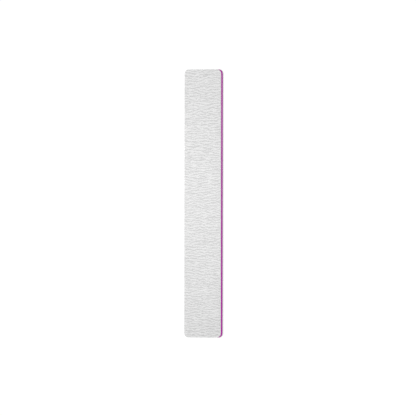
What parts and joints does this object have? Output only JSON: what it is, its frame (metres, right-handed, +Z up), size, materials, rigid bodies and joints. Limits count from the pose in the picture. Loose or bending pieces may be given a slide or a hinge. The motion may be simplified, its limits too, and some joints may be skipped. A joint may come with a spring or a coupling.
{
  "type": "nail file",
  "caption": "Flat, straight nail file with small rounded corners: a stiff core board, cushioned with foam and faced with abrasive paper on both broad sides.",
  "frame": {"origin": "middle of the rear abrasive face, on the surface that the file rests on", "axes": "+X across the width, +Y along the length, +Z up, out of the front abrasive face"},
  "size_m": [0.028, 0.178, 0.004],
  "materials": {
    "abrasive_coat": "matt light grey grit with darker wavy streaks across the width",
    "backing_paper": "matt, die-cut edge",
    "foam": "matt white closed-cell foam, cut edge",
    "core_plastic": "satin purple, with fine upright marks from the die on its cut edge",
    "glue_film": "clear, slightly milky at its cut edge"
  },
  "bodies": {
    "root": {"front_abrasive_coat": "abrasive_coat", "front_backing_paper": "backing_paper", "front_paper_glue": "glue_film", "front_foam_pad": "foam", "front_core_glue": "glue_film", "core_board": "core_plastic", "rear_core_glue": "glue_film", "rear_foam_pad": "foam", "rear_paper_glue": "glue_film", "rear_backing_paper": "backing_paper", "rear_abrasive_coat": "abrasive_coat"}
  },
  "joints": []
}
